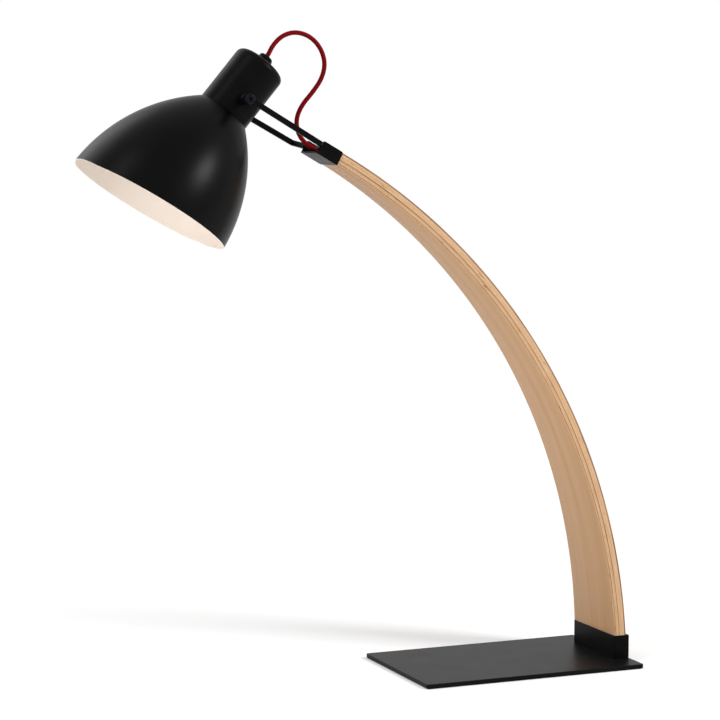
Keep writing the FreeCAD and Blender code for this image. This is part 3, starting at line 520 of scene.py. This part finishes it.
def bentArm():
    inner, thick, centre = wood["innerRadius"], wood["thickness"], Vector(wood["centre"])
    start, end = arm["startAngle"], arm["endAngle"]
    step = (end - start) / arm["steps"]
    bpy.ops.mesh.primitive_plane_add(size=1.0, location=centre + Vector((inner + thick / 2, 0, 0)))
    piece = startPiece("bentArm")
    piece.scale = (thick, 2 * armHalfWidth(start), 1.0)
    bpy.ops.object.transform_apply(location=True, rotation=True, scale=True)
    editWhole()
    bpy.ops.transform.rotate(value=math.radians(start), orient_axis="Y", center_override=centre)
    # the foot's section is swung up round the arch's centre and drawn in step by step
    for k in range(arm["steps"]):
        narrower = armHalfWidth(start + (k + 1) * step) / armHalfWidth(start + k * step)
        bpy.ops.mesh.extrude_region_move()
        bpy.ops.transform.rotate(value=math.radians(step), orient_axis="Y", center_override=centre)
        bpy.ops.transform.resize(value=(1, narrower, 1), center_override=centre)
    # level foot on the shoe, with a tenon that goes down into it
    bpy.ops.mesh.select_all(action="SELECT")
    bpy.ops.mesh.bisect(plane_co=(0, 0, arm["shoeTop"]), plane_no=(0, 0, 1), use_fill=True, clear_inner=True)
    selectWhere(piece, "FACE", lambda middle: abs(middle.z - arm["shoeTop"]) < nearEnough)
    bpy.ops.mesh.inset(thickness=arm["tenonInset"])
    bpy.ops.mesh.extrude_region_move(TRANSFORM_OT_translate={"value": (0, 0, -arm["tenonDepth"])})
    bpy.ops.object.mode_set(mode="OBJECT")
    # a rebate for the bracket's web and a channel for the flex, which both run out past the arm's end
    turn = 90 - arm["bracketAngle"]
    rebate = (arm["rebateLength"], arm["rebateWidth"], 2 * arm["rebate"])
    cutBox(piece, rebate, bracketPlace(-arm["rebateLength"] / 2, 0, 0), turn)
    channel = (arm["channelLength"], arm["channel"], arm["channel"])
    cutBox(piece, channel, bracketPlace(arm["channelMiddle"], 0, thick / 2 + arm["webProud"]), turn)
    applyModifier(piece, "BEVEL", width=arm["edgeRound"], segments=arm["edgeSegments"], limit_method="ANGLE",
                  angle_limit=math.radians(arm["edgeAngle"]), use_clamp_overlap=True)
    piece.data.materials.append(finishes["plywood"])
    return piece


finishPiece(bentArm(), "stand", "arm", arm["smoothAngle"])


head = {"pivot": (-0.3195931, 0.0, 0.6318825), "tilt": 40.2, "neck": -0.019}
# the rim lies in one plane, which meets the bell's axis at rimDrop below the neck and leans by rimLean
shade = {
    "hole": 0.0192, "neckRadius": 0.0296, "mouthRadius": 0.0897, "bellRadius": 0.1859, "depth": 0.1369,
    "rimDrop": 0.1255, "rimLean": 8.2, "wall": 0.001, "around": 192, "rings": 60,
    "neckRound": 0.0009, "neckSegments": 3, "smoothAngle": 40.0,
}


# the bell's side is one arc, widest where it is level with the arc's centre
def bellRadius(drop):
    centre = shade["mouthRadius"] - shade["bellRadius"]
    reach = shade["bellRadius"]
    down = math.sqrt(reach ** 2 - (shade["neckRadius"] - centre) ** 2)
    return centre + math.sqrt(reach ** 2 - (drop - down) ** 2)


def tiltWithHead(piece):
    piece.rotation_euler = (0, math.radians(head["tilt"]), 0)
    piece.location = head["pivot"]
    bpy.ops.object.transform_apply(location=True, rotation=True, scale=True)


def bellShade():
    neck = head["neck"]
    bpy.ops.mesh.primitive_circle_add(vertices=shade["around"], radius=shade["hole"], location=(0, 0, neck))
    piece = startPiece("bellShade")
    bpy.ops.object.transform_apply(location=True, rotation=True, scale=True)
    editWhole()
    wider = shade["neckRadius"] / shade["hole"]
    bpy.ops.mesh.extrude_region_move()
    bpy.ops.transform.resize(value=(wider, wider, 1), center_override=(0, 0, neck))
    for k in range(shade["rings"]):
        drop, lower = (shade["depth"] * (k + n) / shade["rings"] for n in (0, 1))
        wider = bellRadius(lower) / bellRadius(drop)
        bpy.ops.mesh.extrude_region_move(TRANSFORM_OT_translate={"value": (0, 0, drop - lower)})
        bpy.ops.transform.resize(value=(wider, wider, 1), center_override=(0, 0, neck - lower))
    selectWhere(piece, "EDGE", lambda a, b: abs(a.z - neck) + abs(b.z - neck) < nearEnough and
                min(math.hypot(a.x, a.y), math.hypot(b.x, b.y)) > shade["neckRadius"] - nearEnough)
    bpy.ops.mesh.bevel(offset=shade["neckRound"], segments=shade["neckSegments"])
    lean = math.radians(shade["rimLean"])
    rimFace = (-math.sin(lean), 0, math.cos(lean))
    bpy.ops.mesh.select_all(action="SELECT")
    bpy.ops.mesh.bisect(plane_co=(0, 0, neck - shade["rimDrop"]), plane_no=rimFace, clear_inner=True)
    bpy.ops.mesh.select_all(action="SELECT")
    bpy.ops.mesh.remove_doubles(threshold=mergeDistance)
    bpy.ops.mesh.normals_make_consistent(inside=False)
    bpy.ops.object.mode_set(mode="OBJECT")
    for finish in ("shadeCoat", "shadeInside"):
        piece.data.materials.append(finishes[finish])
    applyModifier(piece, "SOLIDIFY", thickness=shade["wall"], offset=-1.0, use_even_offset=True,
                  material_offset=1, material_offset_rim=1)
    tiltWithHead(piece)
    return piece


finishPiece(bellShade(), "head", "shade", shade["smoothAngle"])


nodeFinishes = {
    "padFoam": ["base_pad"], "plateCoat": ["base_plate"],
    "steelCoat": ["arm_shoe", "fork_bracket", "fork_arm_left", "fork_arm_right", "pivot_spacers",
                  "socket_cup", "cord_gland"],
    "blackScrew": ["arm_screws", "bracket_screws", "pivot_screws", "gland_screw"],
    "zinc": ["shoe_screws", "pivot_nuts", "holder_nipple", "nipple_nut", "bulb_contact"],
    "rubber": ["lead_grommet"], "redSheath": ["arm_flex", "head_flex"], "fibre": ["pivot_washers"],
    "shadeCoat": ["shade"], "holderPlastic": ["holder_cap", "holder_body", "shade_ring"],
    "porcelain": ["holder_insert"], "brass": ["holder_shell", "holder_contact"], "opalGlass": ["bulb_glass"],
    "nickel": ["bulb_cap"], "capGlass": ["bulb_insulator"], "plywood": ["arm"],
}
for finish, names in nodeFinishes.items():
    for name in names:
        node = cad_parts[name]
        node.data.materials.clear()
        node.data.materials.append(finishes[finish])
print("nodes finished:", sum(len(names) for names in nodeFinishes.values()))


studio = {
    "floorSize": 30.0, "floorTones": [(0.3, (0.79, 0.79, 0.79)), (0.7, (0.81, 0.81, 0.81))],
    "floorCloud": 2.0, "floorDetail": 2.0,
    "liftNear": 0.23, "liftFar": 0.63, "liftReach": 3.2, "worldStrength": 0.475,
    "lamps": {
        "keyLamp": {"place": (1.44, -1.65, 1.56), "aim": (-0.2, 0.0, 0.4), "size": 0.65, "power": 49.0},
        "frontLamp": {"place": (-0.9, -2.4, 2.2), "aim": (-0.15, 0.0, 0.35), "size": 1.6, "power": 2.0},
        "sideLamp": {"place": (-1.85, -0.62, 2.68), "aim": (-0.3, 0.0, 0.6), "size": 0.9, "power": 9.0},
        "leftLamp": {"place": (-2.2, -0.6, 0.5), "aim": (-0.2, 0.0, 0.4), "size": 1.4, "power": 20.0},
        "backLamp": {"place": (-1.2, 2.2, 2.2), "aim": (-0.2, 0.0, 0.35), "size": 1.6, "power": 14.0},
    },
}


# 1 where a thing is seen straight, in a mirror or through glass, and 0 where it only gives light
def seenRays(tree):
    rays = addNode(tree, "LightPath").outputs
    mirrored = calculate(tree, "MAXIMUM", rays["Is Glossy Ray"], rays["Is Transmission Ray"])
    return calculate(tree, "MAXIMUM", rays["Is Camera Ray"], mirrored)


def floorMaterial():
    material, tree, shader = newMaterial("studioFloor", {})
    tree.nodes.remove(shader)
    place = objectPlace(tree)
    cloud = noise(tree, place, studio["floorCloud"], studio["floorDetail"])
    tone = colorRamp(tree, cloud, studio["floorTones"])
    diffuse = addNode(tree, "BsdfDiffuse", {"Color": tone}).outputs[0]
    # less is added near the lamp, where the studio lights the floor, so that its shadow stays
    away = addNode(tree, "VectorMath", {0: place}, operation="LENGTH").outputs["Value"]
    added = stretch(tree, away, 0.0, studio["liftReach"], studio["liftNear"], studio["liftFar"])
    strength = calculate(tree, "MULTIPLY", seenRays(tree), added)
    lift = addNode(tree, "Emission", {"Color": (1, 1, 1, 1), "Strength": strength}).outputs[0]
    both = addNode(tree, "AddShader", {0: diffuse, 1: lift}).outputs[0]
    tree.links.new(both, tree.nodes["Material Output"].inputs["Surface"])
    return material


bpy.ops.mesh.primitive_plane_add(size=studio["floorSize"], location=(0, 0, 0))
floor = startPiece("studioFloor")
floor.data.materials.append(floorMaterial())
floor.select_set(False)

for name, lamp in studio["lamps"].items():
    bpy.ops.object.light_add(type="AREA", location=lamp["place"])
    light = bpy.context.object
    light.name = name
    light.data.shape = "SQUARE"
    light.data.size = lamp["size"]
    light.data.energy = lamp["power"]
    light.rotation_euler = (Vector(lamp["aim"]) - Vector(lamp["place"])).to_track_quat("-Z", "Y").to_euler()
    light.select_set(False)

world = bpy.data.worlds.new("studioWorld")
scene.world = world
world.use_nodes = True
worldTree = world.node_tree
background = worldTree.nodes["Background"]
background.inputs["Color"].default_value = (1.0, 1.0, 1.0, 1.0)
glow = stretch(worldTree, seenRays(worldTree), 0.0, 1.0, studio["worldStrength"], 1.0)
worldTree.links.new(glow, background.inputs["Strength"])
scene.view_settings.view_transform = "Standard"
print("studio lit")
